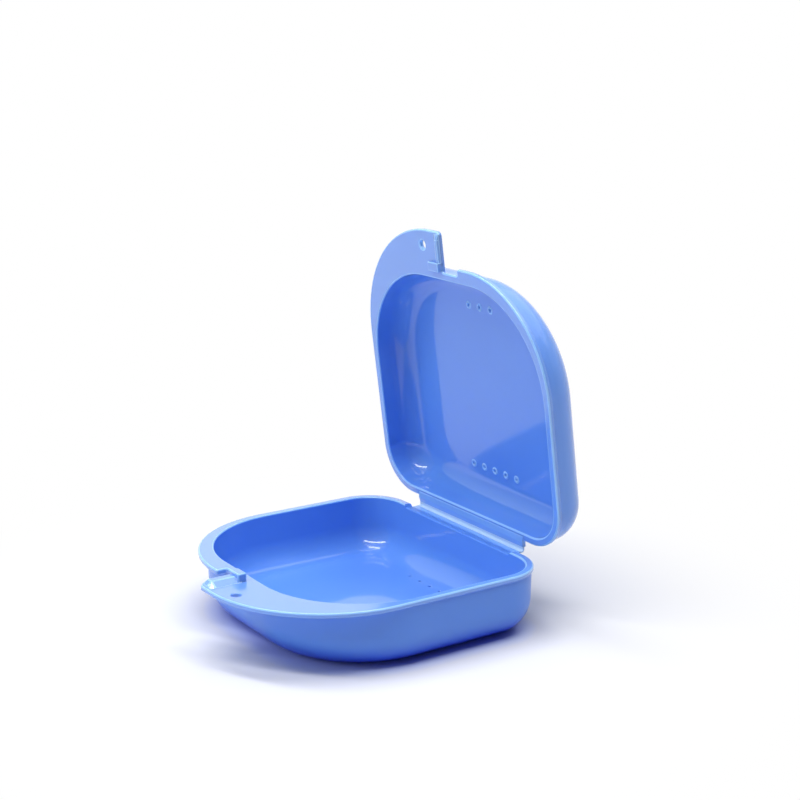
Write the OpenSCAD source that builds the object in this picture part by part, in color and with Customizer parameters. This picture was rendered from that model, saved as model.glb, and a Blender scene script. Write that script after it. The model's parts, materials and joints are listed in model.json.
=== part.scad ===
// Orthodontic retainer case: a shallow D-shaped tray and lid in one polypropylene moulding,
// joined along the back by a thin film hinge and held shut by a catch between two thumb tabs.
// Millimetres. +Z is up, -Y is the front with the thumb tabs, +Y is the hinge side.
// The origin is the centre of the tray's resting face. The lid is drawn at its open angle.

/* [Cavity] */
// Width of the cavity at the rim, side to side
cavity_w = 72; // [66:0.5:80]
// Length of the cavity at the rim, front to back
cavity_l = 61.5; // [58:0.5:68]
// Corner radius of the cavity at the hinge side
back_r = 9.7; // [9.2:0.1:14]
// Corner radius of the cavity at the front
front_r = 26; // [18:0.5:29]
// Depth of the tray inside, rim to floor
base_depth = 14.5; // [12:0.5:20]
// Depth of the lid inside, rim to floor
lid_depth = 9.6; // [8.6:0.2:14]

/* [Walls] */
// Wall thickness at the rim
wall = 1.6; // [1.2:0.1:2.2]
// Floor thickness of the tray
base_floor = 2.2; // [1.4:0.1:3]
// Floor thickness of the lid
lid_floor = 1.3; // [1:0.1:2]
// Draft of the walls in degrees
draft = 1; // [0.5:0.25:3]
// Radius between wall and floor inside the tray
base_round = 7.1; // [3:0.1:7.5]
// Radius between wall and floor inside the lid
lid_round = 6; // [3:0.1:7.5]

/* [Rim] */
// Thickness of the rim flange
rim_t = 1.2; // [1:0.1:1.8]
// Width of the rim at the back and the sides
rim_w = 2.05; // [1.9:0.05:3]
// Reach of the plain half of the tray's front flange beyond the cavity
base_crescent = 4.8; // [4.2:0.1:7]
// Reach of the plain half of the lid's front flange beyond the cavity
lid_crescent = 3.7; // [3.2:0.1:6]
// How much smaller the corner radius of that half is than one that runs level with the cavity
crescent_ease = 1; // [0:0.1:3]
// Reach of the tray's thumb tab beyond the cavity
base_tab = 12.7; // [11:0.1:16]
// Reach of the lid's thumb tab beyond the cavity
lid_tab = 12.3; // [11:0.1:16]
// Corner radius of the thumb tabs at the sides
tab_r = 31.9; // [24:0.1:34]
// Chamfer of a thumb tab's corner at the middle
tab_corner = 1; // [0.5:0.1:2]

/* [Latch] */
// Gap between the two thumb tabs
latch_gap = 1.8; // [0.6:0.1:2.4]
// Width of the tray's rib at its root
base_rib_w = 4.7; // [3:0.1:6]
// Height of the tray's rib above the rim
base_rib_h = 1.2; // [0.6:0.1:1.8]
// Width of the lid's rib at its root
lid_rib_w = 2.1; // [1.6:0.1:4]
// Height of the lid's rib above the rim
lid_rib_h = 0.6; // [0.4:0.1:1]
// Share of a rib's root width that its crest reaches to
crest_share = 0.55; // [0.4:0.05:0.7]
// Length of the slope at a rib's front end
rib_ramp = 1.4; // [0.8:0.1:3]
// Reach of a catch from the middle plane
catch_l = 5.2; // [4:0.1:7]
// Depth of a catch, front to back
catch_d = 2.3; // [1.6:0.1:2.6]
// Height of the tray's catch above the rim
base_catch_h = 2.1; // [1.3:0.1:2.4]
// Height of the lid's catch above the rim
lid_catch_h = 1.2; // [0.9:0.1:1.6]
// Distance from the cavity to the bottom of the notch that takes the other half's catch
notch_in = 2; // [1.7:0.1:2.6]
// Play between a catch and its notch
latch_play = 0.3; // [0.2:0.05:0.5]

/* [Cord holes] */
// Diameter of the cord hole in each thumb tab
cord_d = 2.2; // [1.8:0.1:3.4]
// Distance of the tray's cord hole from the middle plane
base_cord_x = 11.7; // [8.5:0.1:16]
// Distance of the lid's cord hole from the middle plane
lid_cord_x = 8.4; // [7:0.1:16]
// Distance of a cord hole from its tab's front edge
cord_edge = 4.1; // [3:0.1:6]

/* [Vents] */
// Diameter of a vent hole
vent_d = 0.9; // [0.7:0.1:2]
// Spacing of the vent holes in a row
vent_pitch = 4.6; // [3:0.1:6]
// Vents in the row at the hinge side
back_vents = 5; // [3:1:7]
// Vents in the row at the front
front_vents = 3; // [1:1:5]
// Distance of the back row from the cavity's back edge
back_vent_y = 7.9; // [7.5:0.1:12]
// Distance of the front row from the cavity's front edge
front_vent_y = 9.1; // [7.5:0.1:14]

/* [Hinge] */
// Length of the hinge along the back edge
hinge_l = 45.6; // [30:0.2:50]
// Distance of the hinge axis behind the cavity's back edge
hinge_back = 4.2; // [3.8:0.1:6]
// Distance of the hinge axis below the tray's rim
hinge_drop = 0.25; // [0:0.05:0.5]
// Radius that eases the cavity's edge along the hinge
hinge_ease = 3; // [0.6:0.1:3.2]
// Thickness of the hinge leaves
leaf_t = 0.9; // [0.7:0.1:1.2]
// Thickness of the hinge film
film_t = 0.35; // [0.25:0.05:0.6]
// Inside bend radius of the film
film_r = 0.5; // [0.4:0.05:0.7]
// Straight run of the film between a leaf and the bend
film_run = 0.4; // [0.2:0.05:0.8]
// Gap between the two rims when the case is shut
rim_gap = 0.4; // [0.3:0.05:0.8]
// Angle of the lid above its shut position, in degrees
open_angle = 82.5; // [0:0.5:170]

/* [Hidden] */
$fn = 64;
// Overrun of a cutter past the face that it opens
cut = 1;
// Straight pieces in a wall's rounded foot and in the film's bend
round_steps = 10;
// Overlap that keeps neighbouring solids and cutters from only touching
core_margin = 0.3;
// Angle by which a corner laps over the straight walls beside it
lap_a = 1;
back_y = cavity_l / 2;
front_y = -cavity_l / 2;
// Centres of the cavity's corners at the back and the front, on the +X side
back_c = [cavity_w / 2 - back_r, back_y - back_r];
front_c = [cavity_w / 2 - front_r, front_y + front_r];
base_h = base_depth + base_floor;
axis_y = back_y + hinge_back;
axis_z = base_h - hinge_drop;
// Inner edge of the tab, the rib and the catch, half a latch gap from the middle plane
latch_x = latch_gap / 2;
// Bottom of the notches, and the front and back faces of the catches
notch_y = front_y - notch_in;
catch_back = notch_y - latch_play;
catch_front = catch_back - catch_d;
// Height of the hinge axis over each half's own rim plane, cavity side down
base_axis_rise = -hinge_drop;
lid_axis_rise = hinge_drop + rim_gap;
blue = "cornflowerblue";

// Points along an arc
function arc(c, r, a0, a1, n) =
    [for (i = [0 : n]) let (a = a0 + (a1 - a0) * i / n) c + r * [cos(a), sin(a)]];

// Distance from the rim line in to the flat floor, for a wall that is out beyond that line
function floor_inset(h, out, r) = (h - r) * tan(draft) + r / cos(draft) - out;

// Plate with its top at z = 0, from the centre and the radius of its corners at the back and the front
module plate(bc, br, fc, fr, t) {
    side = [[bc.x, bc.y + br], bc, [bc.x + br, bc.y], [bc.x + br, fc.y], fc, [fc.x, fc.y - fr]];
    translate([0, 0, -t]) {
        linear_extrude(t) polygon(concat(side, [for (i = [5 : -1 : 0]) [-side[i].x, side[i].y]]));
        corners(bc, fc) square([$at_back ? br : fr, t]);
    }
}

// Revolves a section about the four corner centres; $at_back says which corner it is for
module corners(bc, fc) {
    for (c = [[bc.x, bc.y, 0], [-bc.x, bc.y, 90], [-fc.x, fc.y, 180], [fc.x, fc.y, 270]])
        let ($at_back = c.z < 135)
            translate([c.x, c.y, 0]) rotate(c.z)
                rotate_extrude(angle = 90 + 2 * lap_a, start = -lap_a) children();
}

// Carries a wall section round the cavity's rim line: x is outward from that line, y is up
module round_the_rim(section) {
    corners(back_c, front_c) translate([$at_back ? back_r : front_r, 0]) polygon(section);
    translate([-back_c.x, back_y, 0]) rotate([90, 0, 90]) linear_extrude(2 * back_c.x) polygon(section);
    translate([front_c.x, front_y, 0]) rotate([90, 0, -90]) linear_extrude(2 * front_c.x) polygon(section);
    side_l = back_c.y - front_c.y;
    translate([cavity_w / 2, back_c.y, 0]) rotate([90, 0, 0]) linear_extrude(side_l) polygon(section);
    translate([-cavity_w / 2, front_c.y, 0]) rotate([90, 0, 180]) linear_extrude(side_l) polygon(section);
}

// Solid tub below the rim plane, with drafted walls and a rounded foot; over is its height above that plane
module tub(h, out, r, over) {
    flat = floor_inset(h, out, r);
    inner = flat + 2 * core_margin;
    core = flat + core_margin;
    foot = arc([-flat, r - h], r, -draft, -90, round_steps);
    top = over > 0 ? [[-inner, over], [out, over]] : [[-inner, 0]];
    round_the_rim(concat(top, [[out, 0]], foot, [[-inner, -h]]));
    translate([0, 0, over])
        plate(back_c, back_r - core, front_c, front_r - core, h + over);
}

// The rim flange: the plain half at -X up to the tab's inner edge, and the half with the tab
module rim(crescent_y, tab_y) {
    side_x = cavity_w / 2 + rim_w;
    back = back_y + rim_w;
    crescent_r = front_r + front_y - crescent_y - crescent_ease;
    intersection() {
        plate(back_c, back_r + rim_w, [side_x - crescent_r, crescent_y + crescent_r], crescent_r, rim_t);
        translate([-side_x - cut, crescent_y - cut, -rim_t - cut])
            cube([side_x + cut + latch_x, back - crescent_y + 2 * cut, rim_t + 2 * cut]);
    }
    intersection() {
        plate(back_c, back_r + rim_w, [side_x - tab_r, tab_y + tab_r], tab_r, rim_t);
        translate([0, 0, -rim_t - cut]) linear_extrude(rim_t + 2 * cut)
            polygon([[latch_x, tab_y + tab_corner], [latch_x + tab_corner + cut, tab_y - cut],
                [side_x + cut, tab_y - cut], [side_x + cut, back + cut], [latch_x, back + cut]]);
    }
}

// Rib along the tab's inner edge, sloped at its front end, and the catch at its back end
module rib_and_catch(tab_y, rib_w, rib_h, catch_h) {
    root = -rim_t / 2;
    foot_x = latch_x + rib_w;
    crest = [[latch_x + rib_h / 2, rib_h], [latch_x + rib_w * crest_share, rib_h]];
    across = concat([[latch_x, root], [latch_x, 0]], crest, [[foot_x, 0], [foot_x, root]]);
    along = [[tab_y + tab_corner, root], [tab_y + tab_corner, 0], [tab_y + tab_corner + rib_ramp, rib_h],
        [catch_front + cut, rib_h], [catch_front + cut, root]];
    intersection() {
        translate([0, catch_front + cut, 0]) rotate([90, 0, 0])
            linear_extrude(catch_front + cut - tab_y) polygon(across);
        rotate([90, 0, 90]) linear_extrude(foot_x + cut) polygon(along);
    }
    translate([latch_x, catch_front, root]) cube([catch_l - latch_x, catch_d, catch_h - root]);
}

// Notch in the plain half of the flange, for the other half's catch
module notch(crescent_y) {
    translate([-catch_l - latch_play, crescent_y - cut, -rim_t - cut])
        cube([catch_l + latch_play + latch_x, notch_y - crescent_y + cut, rim_t + 2 * cut]);
}

// Row of vent cutters through a floor
module vents(count, y, top, depth) {
    for (i = [0 : count - 1])
        translate([(i - (count - 1) / 2) * vent_pitch, y, top - depth - cut])
            cylinder(d = vent_d, h = depth + 2 * cut);
}

// Hinge leaf on a half's back rim, with its face one bend radius from the hinge axis
module leaf(axis_rise) {
    face = axis_rise - film_r;
    y0 = back_y + wall / 2;
    translate([-hinge_l / 2, y0, face - leaf_t]) cube([hinge_l, axis_y - film_run - y0, leaf_t]);
}

// Lowers the rim along the hinge where the leaf's face lies below the rim, with an eased edge at the cavity
module hinge_recess(axis_rise) {
    face = axis_rise - film_r;
    low = face - hinge_ease;
    ease = arc([back_y + hinge_ease - core_margin, low], hinge_ease, 180, 90, round_steps);
    far = back_y + rim_w + cut;
    section = concat([[back_y - cut, cut], [back_y - cut, low]], ease, [[far, face], [far, cut]]);
    if (face < 0)
        translate([-hinge_l / 2, 0, 0]) rotate([90, 0, 90]) linear_extrude(hinge_l) polygon(section);
}

// One half of the case with its rim plane at z = 0, the cavity below and the thumb tab at +X
module half(depth, round_in, floor_t, axis_rise, crescent, tab, rib_w, rib_h, catch_h, cord_x) {
    crescent_y = front_y - crescent;
    tab_y = front_y - tab;
    difference() {
        union() {
            tub(depth + floor_t, wall, round_in + wall, 0);
            rim(crescent_y, tab_y);
            rib_and_catch(tab_y, rib_w, rib_h, catch_h);
            leaf(axis_rise);
        }
        tub(depth, 0, round_in, cut);
        notch(crescent_y);
        hinge_recess(axis_rise);
        translate([cord_x, tab_y + cord_edge, -rim_t - cut]) cylinder(d = cord_d, h = rim_t + 2 * cut);
        vents(back_vents, back_y - back_vent_y, -depth, floor_t);
        vents(front_vents, front_y + front_vent_y, -depth, floor_t);
    }
}

// Turns what is drawn shut to the lid's open angle
module opened() {
    translate([0, axis_y, axis_z]) rotate([-open_angle, 0, 0])
        translate([0, -axis_y, -axis_z]) children();
}

module base_tray() {
    color(blue) translate([0, 0, base_h])
        half(base_depth, base_round, base_floor, base_axis_rise, base_crescent, base_tab,
            base_rib_w, base_rib_h, base_catch_h, base_cord_x);
}

module lid_cover() {
    color(blue) opened() translate([0, 0, base_h + rim_gap]) rotate([0, 180, 0])
        half(lid_depth, lid_round, lid_floor, lid_axis_rise, lid_crescent, lid_tab,
            lid_rib_w, lid_rib_h, lid_catch_h, lid_cord_x);
}

// The film about the hinge axis: a straight run off the tray's leaf, the bend, and a run on to the lid's leaf
module hinge_film() {
    end = 90 - open_angle;
    out = film_r + film_t;
    lid_run = film_run * [-sin(end), cos(end)];
    section = concat([[-film_run, -out]], arc([0, 0], out, -90, end, round_steps),
        [out * [cos(end), sin(end)] + lid_run, film_r * [cos(end), sin(end)] + lid_run],
        arc([0, 0], film_r, end, -90, round_steps), [[-film_run, -film_r]]);
    color(blue) translate([-hinge_l / 2, axis_y, axis_z]) rotate([90, 0, 90])
        linear_extrude(hinge_l) polygon(section);
}

base_tray();
hinge_film();
lid_cover();
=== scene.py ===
# %% [markdown]
# # A moulded retainer case
# This lesson dresses the imported model of an orthodontic retainer case: a tray and a lid that are one plastic
# moulding, joined by a thin film that bends. The imported model is the fixed frame, so every mesh here is drawn in
# its coordinates, in metres, and rides on one of its bodies.

# %% Load the frame
import json
import math

import bmesh
import bpy
from mathutils import Matrix, Vector


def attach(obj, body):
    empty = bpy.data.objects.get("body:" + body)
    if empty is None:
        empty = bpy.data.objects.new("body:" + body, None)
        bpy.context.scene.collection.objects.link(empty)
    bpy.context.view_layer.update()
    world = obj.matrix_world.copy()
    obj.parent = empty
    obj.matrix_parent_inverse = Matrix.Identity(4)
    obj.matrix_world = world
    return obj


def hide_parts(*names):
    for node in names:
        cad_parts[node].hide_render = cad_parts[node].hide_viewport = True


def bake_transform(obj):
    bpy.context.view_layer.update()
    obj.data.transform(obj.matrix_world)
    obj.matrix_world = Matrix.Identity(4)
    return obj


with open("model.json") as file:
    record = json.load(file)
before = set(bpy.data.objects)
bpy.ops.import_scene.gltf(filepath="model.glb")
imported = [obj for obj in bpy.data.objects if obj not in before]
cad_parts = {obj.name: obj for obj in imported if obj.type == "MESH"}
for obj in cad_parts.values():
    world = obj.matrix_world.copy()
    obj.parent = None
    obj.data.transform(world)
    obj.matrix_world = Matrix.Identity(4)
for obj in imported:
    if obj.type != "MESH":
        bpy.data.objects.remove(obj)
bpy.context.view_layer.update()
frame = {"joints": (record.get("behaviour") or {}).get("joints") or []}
MM = 0.001

# %% [markdown]
# ## The rim line
# Both halves follow the same D-shaped rim line: nearly square corners at the hinge, wide round ones at the front.
# It could be a curve object, but a list of corners with a radius each is easier to measure and to change. A helper
# turns the corners into points with outward directions. Moving the points along those directions gives every other
# line of the wall, so all walls stay parallel.

# %% Outline helper
ARC_STEP = math.radians(4)
FEWEST_STEPS = 3


def rounded(corners):
    """Points and outward directions along a closed line of (x, y, radius) corners, anticlockwise."""
    line = []
    count = len(corners)
    for i, (x, y, radius) in enumerate(corners):
        here = Vector((x, y))
        into = (here - Vector(corners[i - 1][:2])).normalized()
        out = (Vector(corners[(i + 1) % count][:2]) - here).normalized()
        turn = math.atan2(into.x * out.y - into.y * out.x, into.dot(out))
        side = 1 if turn > 0 else -1
        start = here - into * radius * math.tan(abs(turn) / 2)
        normal = Vector((into.y, -into.x))
        centre = start - normal * side * radius
        steps = max(FEWEST_STEPS, math.ceil(abs(turn) / ARC_STEP))
        for k in range(steps + 1):
            direction = Matrix.Rotation(turn * k / steps, 2) @ normal
            line.append((centre + direction * side * radius, direction))
    return line


def offset(line, distance):
    """The points of a line moved outwards by a distance."""
    return [point + direction * distance for point, direction in line]


print("outline helper ready, with steps of at most", round(math.degrees(ARC_STEP)), "degrees")

# %% Rim line
CAVITY_W = 72 * MM
CAVITY_L = 61.5 * MM
BACK_R = 9.7 * MM
FRONT_R = 26 * MM
BACK_Y = CAVITY_L / 2
FRONT_Y = -CAVITY_L / 2
rim_line = rounded([
    (CAVITY_W / 2, FRONT_Y, FRONT_R),
    (CAVITY_W / 2, BACK_Y, BACK_R),
    (-CAVITY_W / 2, BACK_Y, BACK_R),
    (-CAVITY_W / 2, FRONT_Y, FRONT_R),
])
print("rim line", len(rim_line), "points")

# %% [markdown]
# ## The flange line
# The flange round the rim is narrow at the back and the sides. At the front one half of it is a plain crescent and
# the other half reaches out as a thumb tab. A notch beside the middle takes the catch of the other half. Tab and
# notch could be added and cut later, but as corners of the same line they cost nothing. Their corners get small
# radii, because a mould has no sharp corners.

# %% Flange line
RIM_W = 2.05 * MM
TAB_R = 31.9 * MM
TAB_CORNER = 1.2 * MM
LATCH_X = 0.9 * MM
CATCH_L = 5.2 * MM
LATCH_PLAY = 0.3 * MM
NOTCH_LAND = 2 * MM
NOTCH_Y = FRONT_Y - NOTCH_LAND
CRESCENT_EASE = 1 * MM
SMALL_R = 0.45 * MM


def flange_line(crescent, tab):
    """Outer line of the flange, from the reach of its plain half and of its thumb tab beyond the cavity."""
    side = CAVITY_W / 2 + RIM_W
    notch = -CATCH_L - LATCH_PLAY
    back_corner = BACK_R + RIM_W
    return rounded([
        (side, FRONT_Y - tab, TAB_R),
        (side, BACK_Y + RIM_W, back_corner),
        (-side, BACK_Y + RIM_W, back_corner),
        (-side, FRONT_Y - crescent, FRONT_R + crescent - CRESCENT_EASE),
        (notch, FRONT_Y - crescent, SMALL_R),
        (notch, NOTCH_Y, SMALL_R),
        (LATCH_X, NOTCH_Y, SMALL_R),
        (LATCH_X, FRONT_Y - tab, TAB_CORNER),
    ])


print("flange", round(RIM_W / MM, 2), "mm wide at the sides")

# %% [markdown]
# ## The wall section
# A moulded wall has a little draft, a wide round between wall and floor, and softened edges that catch the light.
# The inside section runs from the floor up over the rim's inner edge, and the outside section from under the flange
# down to the resting face. Each is a list of (outwards, up) pairs measured from the rim line. Drawing the rounds
# into the section gives even strips, where a bevel on the finished wall would bunch up at the corners.

# %% Wall sections
WALL = 1.6 * MM
RIM_T = 1.2 * MM
DRAFT = math.radians(1)
EDGE_R = 0.4 * MM
LOW_EDGE_R = 0.25 * MM
UNDER_R = 0.12 * MM
ROUND_STEPS = 16
EDGE_STEPS = 5


def arc(centre, radius, first, last, steps):
    """Points of an arc, with angles in degrees."""
    angles = [math.radians(first + (last - first) * k / steps) for k in range(steps + 1)]
    return [(centre[0] + radius * math.cos(a), centre[1] + radius * math.sin(a)) for a in angles]


def foot_centre(edge, height, radius):
    """Centre of the round between a drafted wall and a floor."""
    return edge - (height - radius) * math.tan(DRAFT) - radius / math.cos(DRAFT), radius - height


def inside_section(depth, radius):
    """From the floor up the inside wall and over the rim's inner edge."""
    low = arc(foot_centre(0, depth, radius), radius, -90, -math.degrees(DRAFT), ROUND_STEPS)
    return low + arc((EDGE_R, -EDGE_R), EDGE_R, 180, 90, EDGE_STEPS)


def outside_section(height, radius):
    """From under the flange down the outside wall to the underside of the floor."""
    high = arc((WALL + UNDER_R, -RIM_T - UNDER_R), UNDER_R, 90, 180, EDGE_STEPS)
    return high + arc(foot_centre(WALL, height, radius), radius, -math.degrees(DRAFT), -90, ROUND_STEPS)


print("wall", round(WALL / MM, 2), "mm thick, draft", round(math.degrees(DRAFT), 1), "degrees")

# %% [markdown]
# ## The moulded skin
# The whole case is one blue polypropylene, and no moulded face is quite even: the flow of the plastic leaves a faint
# tint, the gloss varies a little and the skin has a slight ripple. All the finishes share these three, so one node
# group makes them. It uses noise in object coordinates, which needs no unwrapping and moves with the piece.

# %% Moulded skin group
FLOW_NOISE = dict(scale=45, detail=3)
GLOSS_NOISE = dict(scale=160, detail=4)
RIPPLE_NOISE = dict(scale=90, detail=2)
NOISE_LOW, NOISE_HIGH = 0.3, 0.7


def moulded_skin():
    """Node group: flow tint, gloss variation and ripple height of a moulded plastic skin."""
    group = bpy.data.node_groups.new("moulded_skin", "ShaderNodeTree")
    face = group.interface
    for name, kind, value in (("Colour", "NodeSocketColor", (1, 1, 1, 1)),
                              ("Flow Colour", "NodeSocketColor", (1, 1, 1, 1)),
                              ("Smoothest", "NodeSocketFloat", 0.1),
                              ("Roughest", "NodeSocketFloat", 0.2)):
        face.new_socket(name, in_out="INPUT", socket_type=kind).default_value = value
    for name, kind in (("Colour", "NodeSocketColor"), ("Roughness", "NodeSocketFloat"),
                       ("Height", "NodeSocketFloat")):
        face.new_socket(name, in_out="OUTPUT", socket_type=kind)
    nodes, links = group.nodes, group.links
    given = nodes.new("NodeGroupInput")
    made = nodes.new("NodeGroupOutput")
    place = nodes.new("ShaderNodeTexCoord")

    def noise(scale, detail):
        node = nodes.new("ShaderNodeTexNoise")
        node.inputs["Scale"].default_value = scale
        node.inputs["Detail"].default_value = detail
        links.new(place.outputs["Object"], node.inputs["Vector"])
        return node.outputs["Fac"]

    tint = nodes.new("ShaderNodeMix")
    tint.data_type = "RGBA"
    links.new(noise(**FLOW_NOISE), tint.inputs["Factor"])
    links.new(given.outputs["Colour"], tint.inputs["A"])
    links.new(given.outputs["Flow Colour"], tint.inputs["B"])
    links.new(tint.outputs["Result"], made.inputs["Colour"])
    gloss = nodes.new("ShaderNodeMapRange")
    gloss.inputs["From Min"].default_value = NOISE_LOW
    gloss.inputs["From Max"].default_value = NOISE_HIGH
    links.new(noise(**GLOSS_NOISE), gloss.inputs["Value"])
    links.new(given.outputs["Smoothest"], gloss.inputs["To Min"])
    links.new(given.outputs["Roughest"], gloss.inputs["To Max"])
    links.new(gloss.outputs["Result"], made.inputs["Roughness"])
    links.new(noise(**RIPPLE_NOISE), made.inputs["Height"])
    return group


skin_group = moulded_skin()
print("group", skin_group.name)

# %% [markdown]
# ## Plastic finishes
# The same plastic looks different from face to face. The mould was polished for the inside. The rims have a clear
# coat, and their slightly paler blue is painted sheen. Softened edges and the mouths of the lid's holes are paler
# still, a painted highlight. The thin leaves let some light through, and their lighter blue paints the glow of that
# light; the film's pale blue paints the same glow. The tray's outside is matt, and its slightly darker blue is
# painted shade. One function makes a finish round the moulded skin group and takes what differs. The finishes come
# before the meshes, so that each face takes its own as it is made.

# %% Plastic
PLASTIC_IOR = 1.49
GLOW_RADIUS = (0.4, 0.7, 1.0)
GLOW_DEPTH = 2 * MM
RIPPLE_DEPTH = 0.1 * MM


def plastic(name, colour, flow, smoothest, roughest, ripple, glow, bloom, haze):
    """A finish on the moulded skin: glow is the light it lets through, bloom and haze its waxy top film."""
    material = bpy.data.materials.new(name)
    material.use_nodes = True
    nodes, links = material.node_tree.nodes, material.node_tree.links
    shader = nodes["Principled BSDF"]
    for socket, value in (("IOR", PLASTIC_IOR), ("Subsurface Weight", glow), ("Subsurface Radius", GLOW_RADIUS),
                          ("Subsurface Scale", GLOW_DEPTH), ("Coat Weight", bloom), ("Coat Roughness", haze)):
        shader.inputs[socket].default_value = value
    surface = nodes.new("ShaderNodeGroup")
    surface.node_tree = skin_group
    for socket, value in (("Colour", colour), ("Flow Colour", flow), ("Smoothest", smoothest),
                          ("Roughest", roughest)):
        surface.inputs[socket].default_value = value
    bump = nodes.new("ShaderNodeBump")
    bump.inputs["Strength"].default_value = ripple
    bump.inputs["Distance"].default_value = RIPPLE_DEPTH
    links.new(surface.outputs["Colour"], shader.inputs["Base Color"])
    links.new(surface.outputs["Roughness"], shader.inputs["Roughness"])
    links.new(surface.outputs["Height"], bump.inputs["Height"])
    links.new(bump.outputs["Normal"], shader.inputs["Normal"])
    return material


print("plastic ready, index of refraction", PLASTIC_IOR)

# %% Finishes
BLUE, BLUE_FLOW = (0.12, 0.31, 0.83, 1), (0.11, 0.29, 0.8, 1)
# Rim blue, a little paler than the body: painted sheen on top of the real clear coat.
RIM_SHEEN_BLUE, RIM_SHEEN_FLOW = (0.155, 0.345, 0.85, 1), (0.145, 0.325, 0.83, 1)
# Lighter leaf blue: painted glow of the light that shines through the thin leaves.
LEAF_GLOW_BLUE, LEAF_GLOW_FLOW = (0.23, 0.47, 0.97, 1), (0.21, 0.44, 0.95, 1)
# Palest blue: painted highlight on softened edges and on the mouths of the lid's holes.
EDGE_HIGHLIGHT_BLUE, EDGE_HIGHLIGHT_FLOW = (0.31, 0.56, 0.97, 1), (0.28, 0.53, 0.95, 1)
# Darker outside blue: painted shade on the tray's outside and the recess's eased edge; the matt roughness is real.
MATT_SHADE_BLUE, MATT_SHADE_FLOW = (0.105, 0.285, 0.83, 1), (0.095, 0.265, 0.8, 1)
# Pale film blue: painted glow of the light that shines through the thin film.
FILM_GLOW_BLUE, FILM_GLOW_FLOW = (0.5, 0.7, 0.99, 1), (0.46, 0.67, 0.97, 1)
POLISH = dict(smoothest=0.05, roughest=0.08, ripple=0.25, glow=0.2)
SOFT_SHINE = dict(smoothest=0.16, roughest=0.24, ripple=0.2, glow=0.2)
DULL = dict(smoothest=0.29, roughest=0.38)
polished = plastic("polished_inside", BLUE, BLUE_FLOW, **POLISH, bloom=0.5, haze=0.4)
satin = plastic("satin_painted_sheen", RIM_SHEEN_BLUE, RIM_SHEEN_FLOW, **SOFT_SHINE, bloom=1.0, haze=0.2)
leaf_glow = plastic("thin_leaf_painted_glow", LEAF_GLOW_BLUE, LEAF_GLOW_FLOW, **SOFT_SHINE, bloom=0.3, haze=0.3)
edge_highlight = plastic("painted_highlight_edge", EDGE_HIGHLIGHT_BLUE, EDGE_HIGHLIGHT_FLOW, **SOFT_SHINE, bloom=0.3, haze=0.3)
matt = plastic("matt_outside_painted_shade", MATT_SHADE_BLUE, MATT_SHADE_FLOW, **DULL, ripple=0.2, glow=0.2, bloom=0.0, haze=0.3)
film_glow = plastic("film_painted_glow", FILM_GLOW_BLUE, FILM_GLOW_FLOW, **DULL, ripple=0.3, glow=0.1, bloom=0.1, haze=0.3)
FINISHES = (polished, satin, leaf_glow, edge_highlight, matt)
POLISHED, SATIN, LEAF_GLOW, EDGE_HIGHLIGHT, MATT = range(len(FINISHES))
print("finishes", [finish.name for finish in FINISHES], film_glow.name)

# %% [markdown]
# ## Painted shade at the foot
# Wall and floor meet at the foot of the tray, which rounds under close to the paper, where shade falls and its blue
# looks deeper. A painted mask could hold that shade, but the height alone decides it, so a smooth step over the
# height mixes a deep blue into the colour that the matt finish already has: painted shade, deepest at the bottom.

# %% Painted shade at the foot
FOOT_SHADE_BLUE = (0.02, 0.07, 0.7, 1)
SHADE_LOW, SHADE_HIGH = 1 * MM, 7 * MM


def paint_low_shade(material, colour, low, high):
    """Mixes a colour into a finish, from none at the high level to all of it at the low one."""
    nodes, links = material.node_tree.nodes, material.node_tree.links
    base = nodes["Principled BSDF"].inputs["Base Color"]
    place = nodes.new("ShaderNodeTexCoord")
    parts = nodes.new("ShaderNodeSeparateXYZ")
    links.new(place.outputs["Object"], parts.inputs["Vector"])
    rise = nodes.new("ShaderNodeMapRange")
    rise.interpolation_type = "SMOOTHSTEP"
    rise.inputs["From Min"].default_value = low
    rise.inputs["From Max"].default_value = high
    links.new(parts.outputs["Z"], rise.inputs["Value"])
    tint = nodes.new("ShaderNodeMix")
    tint.data_type = "RGBA"
    tint.inputs["A"].default_value = colour
    links.new(rise.outputs["Result"], tint.inputs["Factor"])
    links.new(base.links[0].from_socket, tint.inputs["B"])
    links.new(tint.outputs["Result"], base)


# Painted shade: the tray's matt outside turns a deeper blue towards the bottom.
paint_low_shade(matt, FOOT_SHADE_BLUE, SHADE_LOW, SHADE_HIGH)
print(matt.name, "deepens below", round(SHADE_HIGH / MM, 1), "mm")

# %% [markdown]
# ## Mesh helpers
# A wall is a strip of quads between copies of the rim line. A hole is a tube with its own mouth section. A flat face
# with holes in it is filled between its loops, which keeps the whole half one closed skin. Every hole could be cut
# out with a boolean instead, but that leaves long, thin faces that shade badly.

# %% Strip helpers
def ring(bm, points, z):
    """A closed loop of vertices at one height."""
    return [bm.verts.new((p[0], p[1], z)) for p in points]


def skin(bm, rings, finish, highlit_strips=()):
    """Quads between each ring and the next; strips numbered in the last argument get the painted highlight finish.
    """
    for strip, (low, high) in enumerate(zip(rings, rings[1:])):
        for i in range(len(low)):
            face = bm.faces.new((low[i - 1], low[i], high[i], high[i - 1]))
            face.material_index = EDGE_HIGHLIGHT if strip in highlit_strips else finish


def wall_skin(bm, line, section, finish, highlit_strips=()):
    """The strip that a wall section makes round a line, and its first and last rings."""
    rings = [ring(bm, offset(line, out), up) for out, up in section]
    skin(bm, rings, finish, highlit_strips)
    return rings[0], rings[-1]


print("strip helpers ready")

# %% Hole and face helpers
HOLE_STEPS = 32


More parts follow.
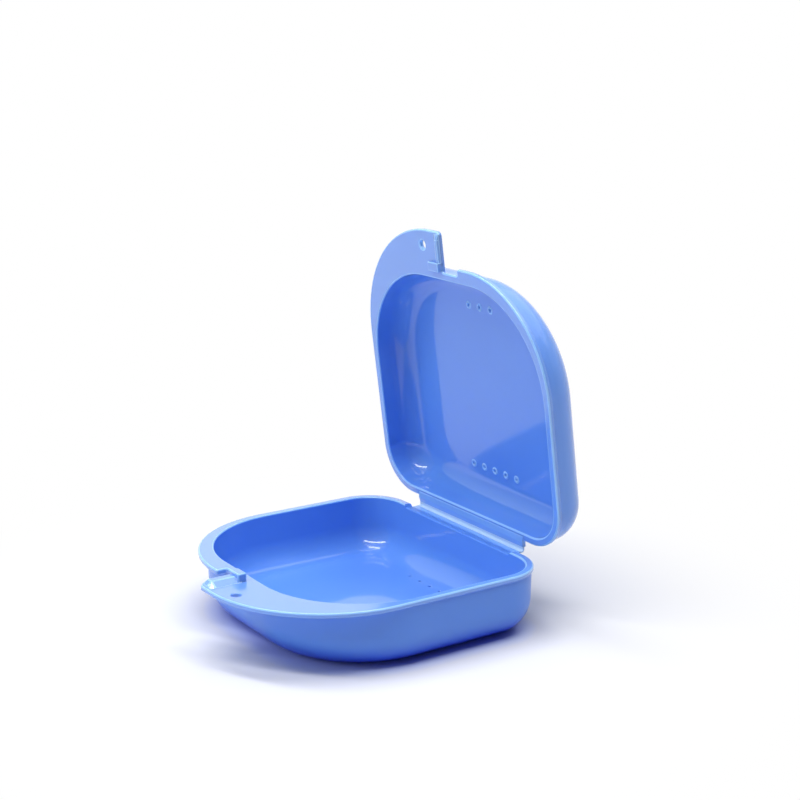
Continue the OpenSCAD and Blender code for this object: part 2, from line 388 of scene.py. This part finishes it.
def hole(bm, centre, radius, top, bottom, mouth, finish):
    """A round hole with a mouth section of (out, up) pairs at the top, and its top and bottom rings."""
    angles = (math.tau * k / HOLE_STEPS for k in range(HOLE_STEPS))
    circle = [Vector((math.cos(a), math.sin(a))) for a in angles]
    section = [(out, top + up) for out, up in mouth]
    section += arc((LOW_EDGE_R, bottom + LOW_EDGE_R), LOW_EDGE_R, 180, 270, EDGE_STEPS)
    rings = [ring(bm, [Vector(centre) + c * (radius + out) for c in circle], up) for out, up in section]
    skin(bm, rings, finish)
    return rings[0], rings[-1]


def fill(bm, loops, finish):
    """Fills the flat face between an outer loop and its holes."""
    edges = []
    for loop in loops:
        for i in range(len(loop)):
            edges.append(bm.edges.get((loop[i - 1], loop[i])) or bm.edges.new((loop[i - 1], loop[i])))
    made = bmesh.ops.triangle_fill(bm, use_beauty=True, use_dissolve=False, edges=edges)
    for item in made["geom"]:
        if isinstance(item, bmesh.types.BMFace):
            item.material_index = finish


print("hole and face helpers ready,", HOLE_STEPS, "points round a hole")

# %% Piece helper
def make_piece(name, bm, finishes):
    """An object in the scene, made from a mesh in work, with its finishes in their order."""
    bmesh.ops.recalc_face_normals(bm, faces=bm.faces)
    mesh = bpy.data.meshes.new(name)
    bm.to_mesh(mesh)
    bm.free()
    for finish in finishes:
        mesh.materials.append(finish)
    piece = bpy.data.objects.new(name, mesh)
    bpy.context.scene.collection.objects.link(piece)
    print(name, len(mesh.polygons), "faces")
    return piece


print("piece helper ready")

# %% [markdown]
# ## Blocks
# Ribs, catches and hinge leaves are small blocks that stand in the skin. Each is lofted through a row of sections
# rather than scaled from a cube, so that it can slope and taper. Its sharp edges are then softened, and may have a
# finish of their own.

# %% Block helper
SHARPER_THAN = math.radians(15)
SOFT_STEPS = 4
ROUND_PROFILE = 0.5


def loft(bm, sections, soft, finish, edge_finish):
    """A block through a row of sections of the same count, with softened edges that have a finish of their own."""
    rows = [[bm.verts.new(point) for point in section] for section in sections]
    faces = [bm.faces.new(rows[0]), bm.faces.new(rows[-1][::-1])]
    for near, far in zip(rows, rows[1:]):
        for i in range(len(near)):
            faces.append(bm.faces.new((near[i - 1], far[i - 1], far[i], near[i])))
    for face in faces:
        face.material_index = finish
    bmesh.ops.recalc_face_normals(bm, faces=faces)
    edges = {edge for face in faces for edge in face.edges}
    sharp = [edge for edge in edges if abs(edge.calc_face_angle(0)) > SHARPER_THAN]
    bmesh.ops.bevel(bm, geom=sharp, offset=soft, segments=SOFT_STEPS, profile=ROUND_PROFILE, affect="EDGES",
                    clamp_overlap=True, material=edge_finish)


print("block helper ready")

# %% [markdown]
# ## Sizes of the halves
# Tray and lid come from the same drawing: the lid is shallower, has a lighter latch, and is turned over on the
# hinge. What differs is kept in one table for each half, so one function can draw both. A low bead stands round each
# vent of the lid, as the mould's pins leave it. The lid's vents and cord hole take the paler edge finish, a painted
# highlight ring.

# %% Sizes of the halves
VENT_SOFT = 0.2 * MM
PLAIN_VENT = arc((VENT_SOFT, -VENT_SOFT), VENT_SOFT, 90, 180, EDGE_STEPS)
BEAD_R = 0.36 * MM
BEAD_SUNK = 0.5
BEAD_STEPS = 8
BEADED_VENT = [(2 * BEAD_R, 0)] + arc((BEAD_R, -BEAD_SUNK * BEAD_R), BEAD_R, 60, 180, BEAD_STEPS)
TRAY = dict(depth=14.5 * MM, floor=2.2 * MM, round=7.1 * MM, crescent=4.8 * MM, tab=12.7 * MM,
            rib_w=4.7 * MM, rib_h=1.2 * MM, catch_h=2.1 * MM, cord_x=11.7 * MM, soft=0.35 * MM, ridge=0,
            vent=PLAIN_VENT, vent_finish=POLISHED, cord_finish=SATIN, outside=MATT)
# The lid's vent and cord hole mouths take the paler edge finish, a painted highlight ring.
LID = dict(depth=9.6 * MM, floor=1.3 * MM, round=6 * MM, crescent=3.7 * MM, tab=12.3 * MM,
           rib_w=2.1 * MM, rib_h=0.6 * MM, catch_h=1.2 * MM, cord_x=8.4 * MM, soft=0.2 * MM, ridge=0.3 * MM,
           vent=BEADED_VENT, vent_finish=EDGE_HIGHLIGHT, cord_finish=EDGE_HIGHLIGHT, outside=POLISHED)
print("tray", TRAY["depth"] / MM, "mm deep, lid", LID["depth"] / MM, "mm deep")

# %% [markdown]
# ## Rib and catch
# A rib stiffens the tab along its inner edge and ends in a catch, which drops into the other half's notch when the
# case is shut. Both start inside the flange and lap over each other, so no gap shows under or between them.

# %% Rib and catch
CATCH_D = 2.3 * MM
CATCH_BACK = NOTCH_Y - LATCH_PLAY
CATCH_FRONT = CATCH_BACK - CATCH_D
SUNK = -RIM_T / 2
RIB_INSET = 0.6 * MM
RIB_TOE = 0.15
RIB_RAMP = 1.4 * MM
RIB_LAP = 1 * MM
CREST_SHARE = 0.55


def rib(bm, size):
    """The rib along the tab's inner edge, sloped at its front end."""
    start = FRONT_Y - size["tab"] + RIB_INSET
    rows = [(start, RIB_TOE), (start + RIB_RAMP, 1), (CATCH_FRONT + RIB_LAP, 1)]
    foot_x = LATCH_X + size["rib_w"]
    crest_x = LATCH_X + size["rib_w"] * CREST_SHARE
    sections = []
    for y, share in rows:
        top = size["rib_h"] * share
        sections.append([(LATCH_X, y, SUNK), (foot_x, y, SUNK), (foot_x, y, 0),
                         (crest_x, y, top), (LATCH_X + size["rib_h"] / 2, y, top), (LATCH_X, y, 0)])
    # The softened edges take the paler edge finish, a painted highlight.
    loft(bm, sections, size["soft"], SATIN, EDGE_HIGHLIGHT)


def catch(bm, size):
    """The catch at the rib's back end."""
    top = size["catch_h"]
    corners = [(CATCH_FRONT, SUNK), (CATCH_BACK, SUNK), (CATCH_BACK, top), (CATCH_FRONT, top)]
    # The softened edges take the paler edge finish, a painted highlight.
    loft(bm, [[(x, y, z) for y, z in corners] for x in (LATCH_X, CATCH_L)], size["soft"], SATIN, EDGE_HIGHLIGHT)


print("catch from", round(CATCH_FRONT / MM, 2), "to", round(CATCH_BACK / MM, 2), "mm")

# %% [markdown]
# ## Hinge leaf
# Each half carries a stiff strip along its straight edge, the leaf, and the film runs from one leaf to the other.
# The lid's leaf has a slight ridge along its middle, which parts the light on it into two strips. The leaf is
# measured from the hinge axis, which the frame gives, so that the leaves lie face to face when the case is shut.

# %% Hinge leaf
AXIS = Vector(frame["joints"][0]["pos_m"])
HINGE_L = 45.6 * MM
LEAF_T = 0.9 * MM
LEAF_SOFT = 0.15 * MM
FILM_RUN = 0.4 * MM


def leaf(bm, face, ridge):
    """The stiff strip that carries the film, with its face at a height and a slight ridge along its middle."""
    near, far = BACK_Y + WALL / 2, AXIS.y - FILM_RUN
    low = face - LEAF_T
    corners = [(near, low), (far, low), (far, face), ((near + far) / 2, face + ridge), (near, face)]
    # The leaf takes the lighter thin-leaf finish, a painted glow.
    loft(bm, [[(x, y, z) for y, z in corners] for x in (-HINGE_L / 2, HINGE_L / 2)], LEAF_SOFT, LEAF_GLOW, LEAF_GLOW)


print("leaf", round(HINGE_L / MM, 1), "mm long")

# %% [markdown]
# ## One half of the case
# The half is drawn with its rim at height zero, the cavity below and the thumb tab at +X. Two walls, the lip of the
# flange and the holes are strips, and four flat faces join them into one watertight skin. Nothing is left open, so
# the half can be cut later and its mesh can be used elsewhere.

# %% Vents and cord hole
CORD_R = 1.1 * MM
CORD_EDGE = 4.1 * MM
CORD_SOFT = 0.5 * MM
CORD_MOUTH = arc((CORD_SOFT, -CORD_SOFT), CORD_SOFT, 90, 180, EDGE_STEPS)
VENT_R = 0.4 * MM
VENT_PITCH = 4.6 * MM
VENT_ROWS = [(5, BACK_Y - 7.9 * MM), (3, FRONT_Y + 9.1 * MM)]


def vent_centres():
    """Places of the vents, row by row."""
    for count, y in VENT_ROWS:
        for i in range(count):
            yield ((i - (count - 1) / 2) * VENT_PITCH, y)


print(len(list(vent_centres())), "vents in a half")

# %% One half
def half(name, size):
    """A closed skin of one half, without its rib, catch and hinge leaf."""
    bm = bmesh.new()
    depth, height = size["depth"], size["depth"] + size["floor"]
    inside = inside_section(depth, size["round"])
    # The rim's inner edge and the lip's top round take the paler edge finish, a painted highlight.
    inner_edge = range(len(inside) - 1 - EDGE_STEPS, len(inside) - 1)
    floor, rim_top = wall_skin(bm, rim_line, inside, POLISHED, inner_edge)
    rim_under, resting = wall_skin(bm, rim_line, outside_section(height, size["round"] + WALL), size["outside"])
    lip = arc((-EDGE_R, -EDGE_R), EDGE_R, 90, 0, EDGE_STEPS)
    lip += arc((-LOW_EDGE_R, LOW_EDGE_R - RIM_T), LOW_EDGE_R, 0, -90, EDGE_STEPS)
    lip_top, lip_under = wall_skin(bm, flange_line(size["crescent"], size["tab"]), lip, SATIN, range(EDGE_STEPS))
    cord_at = (size["cord_x"], FRONT_Y - size["tab"] + CORD_EDGE)
    cord_top, cord_under = hole(bm, cord_at, CORD_R, 0, -RIM_T, CORD_MOUTH, size["cord_finish"])
    vents = [hole(bm, at, VENT_R, -depth, -height, size["vent"], size["vent_finish"]) for at in vent_centres()]
    # The flange's flat faces take the satin finish, whose paler blue is painted sheen.
    fill(bm, [rim_top, lip_top, cord_top], SATIN)
    fill(bm, [rim_under, lip_under, cord_under], SATIN)
    fill(bm, [floor] + [top for top, _ in vents], POLISHED)
    fill(bm, [resting] + [low for _, low in vents], size["outside"])
    return make_piece(name, bm, FINISHES)


print("half ready to draw")

# %% [markdown]
# ## Blocks on a half
# The blocks join a half when it is in its place, and the tray only after its hinge recess is cut. A boolean needs
# skins that don't cross themselves, and would drop blocks that stand in one. Softening can leave faces without area
# where edges run into each other, so these are dissolved first.

# %% Add the blocks
FILM_R = 0.5 * MM
SEAM = 0.02 * MM
SLIVER = 0.001 * MM


def add_blocks(piece, size, axis_rise, place):
    """Adds the rib, the catch and the hinge leaf to a half that is in its place."""
    bm = bmesh.new()
    rib(bm, size)
    catch(bm, size)
    leaf(bm, axis_rise - FILM_R - SEAM, size["ridge"])
    bmesh.ops.dissolve_degenerate(bm, dist=SLIVER, edges=bm.edges)
    bm.transform(place)
    bm.from_mesh(piece.data)
    bm.to_mesh(piece.data)
    bm.free()
    print(piece.name, len(piece.data.polygons), "faces with its blocks")


print("blocks ready to add")

# %% [markdown]
# ## Tray and lid in place
# The tray stands on its flat underside. The lid is turned over, laid on the tray's rim with a small gap, and then
# opened about the hinge axis. The moves are made on the mesh and not on the object, as the frame does it: its
# objects sit at the origin and their place is in their meshes.

# %% Place the halves
RIM_GAP = 0.4 * MM
OPEN_ANGLE = math.radians(82.5)
rim_z = TRAY["depth"] + TRAY["floor"]
tray_rise = AXIS.z - rim_z
lid_rise = RIM_GAP - tray_rise

tray = half("tray_shell", TRAY)
standing = Matrix.Translation((0, 0, rim_z))
tray.data.transform(standing)
lid = half("lid_shell", LID)
shut = Matrix.Translation((0, 0, rim_z + RIM_GAP)) @ Matrix.Rotation(math.pi, 4, "Y")
opened = Matrix.Translation(AXIS) @ Matrix.Rotation(-OPEN_ANGLE, 4, "X") @ Matrix.Translation(-AXIS)
lid.data.transform(opened @ shut)
add_blocks(lid, LID, lid_rise, opened @ shut)
print("rim at", round(rim_z / MM, 2), "mm, lid opened", round(math.degrees(OPEN_ANGLE), 1), "degrees")

# %% [markdown]
# ## The hinge recess
# Along the hinge the tray's rim is cut down, so that the two leaves can lie face to face when the case is shut.
# The cut's edge at the cavity is eased and its ends slope. A cutter with a boolean does this while the skin is still
# plain, and the cut faces keep the cutter's finishes: matt, then satin, then the thin-leaf finish towards the film.
# Each is paler than the one before, a painted light that brightens towards the film. The result is written back to
# the mesh, so no modifier is left behind.

# %% Recess section
HINGE_EASE = 0.4 * MM
EASE_LAP = 0.03 * MM
CUT_PAST = 2 * MM
RECESS_SHEEN_FROM, RECESS_GLOW_FROM = 0.6, 0.8
recess_z = AXIS.z - FILM_R
low_z = recess_z - HINGE_EASE
high_z = rim_z + RIM_W
front, far = BACK_Y - CUT_PAST, BACK_Y + 2 * RIM_W
wall_y = BACK_Y - (rim_z - low_z) * math.tan(DRAFT)
recess_sheen_y, recess_glow_y = [wall_y + (AXIS.y - wall_y) * share for share in (RECESS_SHEEN_FROM, RECESS_GLOW_FROM)]
recess = [(front, high_z), (front, low_z)]
recess += arc((wall_y + HINGE_EASE - EASE_LAP, low_z), HINGE_EASE, 180, 90, ROUND_STEPS)
recess += [(recess_sheen_y, recess_z), (recess_glow_y, recess_z), (far, recess_z), (far, high_z)]
print("recess at", round(recess_z / MM, 2), "mm, section of", len(recess), "points")

# %% Recess cutter
STEEP, GENTLE = 1, 0.5
cutter_bm = bmesh.new()
ends = []
for side in (-1, 1):
    slope = [(z - recess_z) * (STEEP if z > recess_z else GENTLE) for _, z in recess]
    ends.append([cutter_bm.verts.new((side * (HINGE_L / 2 + out), y, z)) for out, (y, z) in zip(slope, recess)])
cutter_bm.faces.new(ends[0])
cutter_bm.faces.new(ends[1][::-1])
for i in range(len(recess)):
    cutter_bm.faces.new((ends[0][i - 1], ends[1][i - 1], ends[1][i], ends[0][i]))
# Finishes grow paler towards the film: painted light on the recess.
for face in cutter_bm.faces:
    y = face.calc_center_median().y
    face.material_index = LEAF_GLOW if y > recess_glow_y else SATIN if y > recess_sheen_y else MATT
cutter = make_piece("hinge_recess", cutter_bm, FINISHES)

# %% Cut the hinge recess
cut = tray.modifiers.new("recess", "BOOLEAN")
cut.operation = "DIFFERENCE"
cut.solver = "EXACT"
cut.object = cutter
cut_mesh = bpy.data.meshes.new_from_object(tray.evaluated_get(bpy.context.evaluated_depsgraph_get()))
tray.modifiers.clear()
tray.data = cut_mesh
bpy.data.objects.remove(cutter)
add_blocks(tray, TRAY, tray_rise, standing)
used = sorted({face.material_index for face in tray.data.polygons})
print("tray after the cut has", [tray.data.materials[i].name for i in used])

# %% [markdown]
# ## The film
# The film is the thin strip that bends. It is drawn bent at the rest angle, from the tray's leaf to the lid's. Many
# narrow faces across the bend keep it round.

# %% Film section
FILM_T = 0.35 * MM
FILM_STEPS = 24
bend_end = math.degrees(math.pi / 2 - OPEN_ANGLE)
lid_turn = math.radians(bend_end)
lid_way = Vector((-math.sin(lid_turn), math.cos(lid_turn)))


def film_side(radius):
    """One face of the film's section, from the tray's leaf to the lid's."""
    bend = arc((0, 0), radius, -90, bend_end, FILM_STEPS)
    return [(-FILM_RUN, -radius)] + bend + [tuple(Vector(bend[-1]) + lid_way * FILM_RUN)]


outer, inner = film_side(FILM_R + FILM_T), film_side(FILM_R)
print("film", round(FILM_T / MM, 2), "mm thick, bent from -90 to", round(bend_end, 1), "degrees")

# %% Film strip
film_bm = bmesh.new()
across = []
for x in (-HINGE_L / 2, HINGE_L / 2):
    across.append([film_bm.verts.new((x, AXIS.y + y, AXIS.z + z)) for y, z in outer + inner[::-1]])
count = len(outer)
for i in range(2 * count):
    film_bm.faces.new((across[0][i - 1], across[0][i], across[1][i], across[1][i - 1]))
for end in across:
    for i in range(count - 1):
        film_bm.faces.new((end[i], end[i + 1], end[2 * count - 2 - i], end[2 * count - 1 - i]))
# The film takes the pale film finish, a painted glow.
film = make_piece("film_strip", film_bm, [film_glow])

# %% [markdown]
# ## Smooth shading
# The skins are shaded smooth. Weighted normals keep the big flat faces flat right up to their softened edges, so
# reflections on the floor of the lid stay straight. More faces would do the same, at a much greater cost.

# %% Smooth shading
SHARP = math.radians(30)
LARGE_FACES_FIRST = 100
for piece in (tray, lid, film):
    piece.data.shade_smooth()
    piece.data.set_sharp_from_angle(angle=SHARP)
    weighted = piece.modifiers.new("flat_faces", "WEIGHTED_NORMAL")
    weighted.weight = LARGE_FACES_FIRST
    weighted.keep_sharp = True
print("shaded", tray.name, lid.name, film.name)

# %% [markdown]
# ## Bodies
# Each half stands for its solid in the frame and rides on that solid's body. The film belongs to neither: it is
# drawn bent, from the end of the tray's leaf to the end of the lid's.

# %% Dress the frame
for piece, node, body in ((tray, "base_tray", "tray"), (lid, "lid_cover", "lid")):
    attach(piece, body)
    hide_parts(node)
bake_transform(film)
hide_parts("hinge_film")

# %% [markdown]
# ## The paper
# The case stands on white paper. A flat square is enough for it, far wider than the view. Close under the case the
# paper is in shade and tinged blue by the light that comes through the plastic. Tracing that light would be slow and
# noisy, so the paper's own colour turns a darker blue where something stands close above it, which an ambient
# occlusion node tells: a painted shadow with a painted blue tinge.

# %% Paper
PAPER_REACH = 6.0
paper_mesh = bpy.data.meshes.new("paper")
corners = [(-1, -1), (1, -1), (1, 1), (-1, 1)]
paper_mesh.from_pydata([(x * PAPER_REACH, y * PAPER_REACH, 0) for x, y in corners], [], [(0, 1, 2, 3)])
paper = bpy.data.objects.new("paper", paper_mesh)
bpy.context.scene.collection.objects.link(paper)
print("paper", 2 * PAPER_REACH, "m wide")

# %% Paper colour
PAPER = (0.7, 0.71, 0.76, 1)
# Darker blue of the paper close under the case: painted shadow and painted blue light.
SHADOW_BLUE_PAPER = (0.46, 0.6, 1.0, 1)
SHADOW_REACH = 5 * MM
paper_finish = bpy.data.materials.new("white_paper")
paper_finish.use_nodes = True
paper_mesh.materials.append(paper_finish)
nodes, links = paper_finish.node_tree.nodes, paper_finish.node_tree.links
nodes.clear()
paper_skin = nodes.new("ShaderNodeBsdfDiffuse")
near_case = nodes.new("ShaderNodeAmbientOcclusion")
near_case.inputs["Distance"].default_value = SHADOW_REACH
painted_shadow_tinge = nodes.new("ShaderNodeMix")
painted_shadow_tinge.data_type = "RGBA"
painted_shadow_tinge.inputs["A"].default_value = SHADOW_BLUE_PAPER
painted_shadow_tinge.inputs["B"].default_value = PAPER
links.new(near_case.outputs["AO"], painted_shadow_tinge.inputs["Factor"])
links.new(painted_shadow_tinge.outputs["Result"], paper_skin.inputs["Color"])
print(paper_finish.name, "tinged within", round(SHADOW_REACH / MM, 1), "mm of the case")

# %% [markdown]
# ## The white ground
# In the photograph the paper fades to plain white away from the case. More light would do that, but it would wash
# out the case as well. So the paper keeps its shadow near the case and turns into an even white further out, for the
# camera and for mirrored or passing rays only. It lights nothing, so it isn't counted among the lamps.

# %% Paper fade
FADE_FROM, FADE_TO = 0.045, 0.12


def either(nodes, links, first, second):
    """The larger of two masks."""
    node = nodes.new("ShaderNodeMath")
    node.operation = "MAXIMUM"
    links.new(first, node.inputs[0])
    links.new(second, node.inputs[1])
    return node.outputs["Value"]


place = nodes.new("ShaderNodeTexCoord")
length = nodes.new("ShaderNodeVectorMath")
length.operation = "LENGTH"
links.new(place.outputs["Object"], length.inputs[0])
fade = nodes.new("ShaderNodeMapRange")
fade.interpolation_type = "SMOOTHSTEP"
fade.inputs["From Min"].default_value = FADE_FROM
fade.inputs["From Max"].default_value = FADE_TO
links.new(length.outputs["Value"], fade.inputs["Value"])
path = nodes.new("ShaderNodeLightPath")
viewers = either(nodes, links, path.outputs["Is Camera Ray"], path.outputs["Is Glossy Ray"])
viewers = either(nodes, links, viewers, path.outputs["Is Transmission Ray"])
seen = nodes.new("ShaderNodeMath")
seen.operation = "MULTIPLY"
links.new(fade.outputs["Result"], seen.inputs[0])
links.new(viewers, seen.inputs[1])
print("paper fades from", FADE_FROM, "to", FADE_TO, "m")

# %% Paper finish
plain_white = nodes.new("ShaderNodeEmission")
mix = nodes.new("ShaderNodeMixShader")
surface_out = nodes.new("ShaderNodeOutputMaterial")
links.new(seen.outputs["Value"], mix.inputs["Fac"])
links.new(paper_skin.outputs["BSDF"], mix.inputs[1])
links.new(plain_white.outputs["Emission"], mix.inputs[2])
links.new(mix.outputs["Shader"], surface_out.inputs["Surface"])
paper_finish.cycles.emission_sampling = "NONE"
print(paper_finish.name, "has", len(nodes), "nodes")

# %% [markdown]
# ## The room
# The camera sees plain white behind the case, and the lamps do the lighting, so the world itself gives only a little
# light. Shiny plastic also shows what stands round it: a bright backdrop behind the case and a dimmer room behind
# the camera. Both could be built as walls, but a level that depends on the direction and on the kind of ray is
# simpler to set. Only the lamps are sampled as lights, so the world is taken as the rays meet it.

# %% Backdrop
ROOM = 0.25
BACKDROP_WAY = (-0.6, 0.8, 0)
BACKDROP_FROM, BACKDROP_TO = -0.3, 0.2
world = bpy.data.worlds.new("studio")
bpy.context.scene.world = world
world.use_nodes = True
nodes, links = world.node_tree.nodes, world.node_tree.links
place = nodes.new("ShaderNodeTexCoord")
ahead = nodes.new("ShaderNodeVectorMath")
ahead.operation = "DOT_PRODUCT"
ahead.inputs[1].default_value = BACKDROP_WAY
links.new(place.outputs["Generated"], ahead.inputs[0])
backdrop = nodes.new("ShaderNodeMapRange")
backdrop.interpolation_type = "SMOOTHSTEP"
backdrop.inputs["From Min"].default_value = BACKDROP_FROM
backdrop.inputs["From Max"].default_value = BACKDROP_TO
backdrop.inputs["To Min"].default_value = ROOM
links.new(ahead.outputs["Value"], backdrop.inputs["Value"])
print("backdrop from", ROOM, "to 1")

# %% World
SKY = 0.05
WHITE = 1.0
path = nodes.new("ShaderNodeLightPath")
mirrored = nodes.new("ShaderNodeMix")
mirrored.inputs["A"].default_value = SKY
links.new(either(nodes, links, path.outputs["Is Glossy Ray"], path.outputs["Is Transmission Ray"]),
          mirrored.inputs["Factor"])
links.new(backdrop.outputs["Result"], mirrored.inputs["B"])
level = nodes.new("ShaderNodeMix")
level.inputs["B"].default_value = WHITE
links.new(path.outputs["Is Camera Ray"], level.inputs["Factor"])
links.new(mirrored.outputs["Result"], level.inputs["A"])
background = nodes["Background"]
background.inputs["Color"].default_value = (1, 1, 1, 1)
links.new(level.outputs["Result"], background.inputs["Strength"])
world.cycles.sampling_method = "NONE"
print("world ready, sky level", SKY)

# %% [markdown]
# ## The lamps
# The light is broad and soft, as in a small studio. Two narrow strips, turned a little, draw the light streaks in
# the round corners of tray and lid. Two large fills brighten the case without showing in it, and one softbox behind
# it gives the rims their shine. Area lamps do all this, because their size sets both the shadow and the reflection.

# %% Lamps
LAMP_AIM = Vector((0, 0, 0.03))
STRIP = dict(size=(1.1, 0.12), watts=5.4, in_gloss=True, roll=28)


def softbox(name, place, size, watts, in_gloss, roll=0):
    """An area lamp that looks at the case; in_gloss is whether shiny faces mirror it, roll turns it in degrees."""
    lamp = bpy.data.lights.new(name, "AREA")
    lamp.shape = "RECTANGLE"
    lamp.size, lamp.size_y = size
    lamp.energy = watts
    holder = bpy.data.objects.new(name, lamp)
    holder.location = place
    look = (LAMP_AIM - Vector(place)).to_track_quat("-Z", "Y").to_matrix()
    holder.rotation_euler = (look @ Matrix.Rotation(math.radians(roll), 3, "Z")).to_euler()
    holder.visible_glossy = in_gloss
    bpy.context.scene.collection.objects.link(holder)
    print(name, watts, "W")


softbox("strip_front", (0.065, -0.34, 0.86), **STRIP)
softbox("strip_top", (0, 0.09, 0.93), **STRIP)
softbox("front_fill", (-0.3, -0.9, 0.45), size=(0.8, 0.8), watts=3.6, in_gloss=False)
softbox("top_softbox", (0, 0, 0.9), size=(0.8, 0.8), watts=1.8, in_gloss=False)
softbox("back_softbox", (0, 0.55, 0.8), size=(1.0, 0.7), watts=1.8, in_gloss=True)

# %% [markdown]
# ## Camera
# The camera looks at the case from the front right and a little above, as in the photograph. Its direction, distance
# and lens were fitted to the outline of the case. The view transform is the plain one, so that a colour renders
# about as it is written.

# %% Camera
AZIMUTH = math.radians(56.4)
ELEVATION = math.radians(14.06)
DISTANCE = 401.1 * MM
TARGET = Vector((0.01, 13.66, 53.13)) * MM
SENSOR, LENS = 36, 72.74
NEAREST = 0.01
camera_data = bpy.data.cameras.new("camera")
camera_data.sensor_width = SENSOR
camera_data.lens = LENS
camera_data.clip_start = NEAREST
camera = bpy.data.objects.new("camera", camera_data)
across_ground = math.cos(ELEVATION)
back = Vector((math.sin(AZIMUTH) * across_ground, -math.cos(AZIMUTH) * across_ground, math.sin(ELEVATION)))
camera.location = TARGET + back * DISTANCE
camera.rotation_euler = (-back).to_track_quat("-Z", "Y").to_euler()
bpy.context.scene.collection.objects.link(camera)
bpy.context.scene.camera = camera
bpy.context.scene.view_settings.view_transform = "Standard"
print("camera at", [round(v, 3) for v in camera.location])
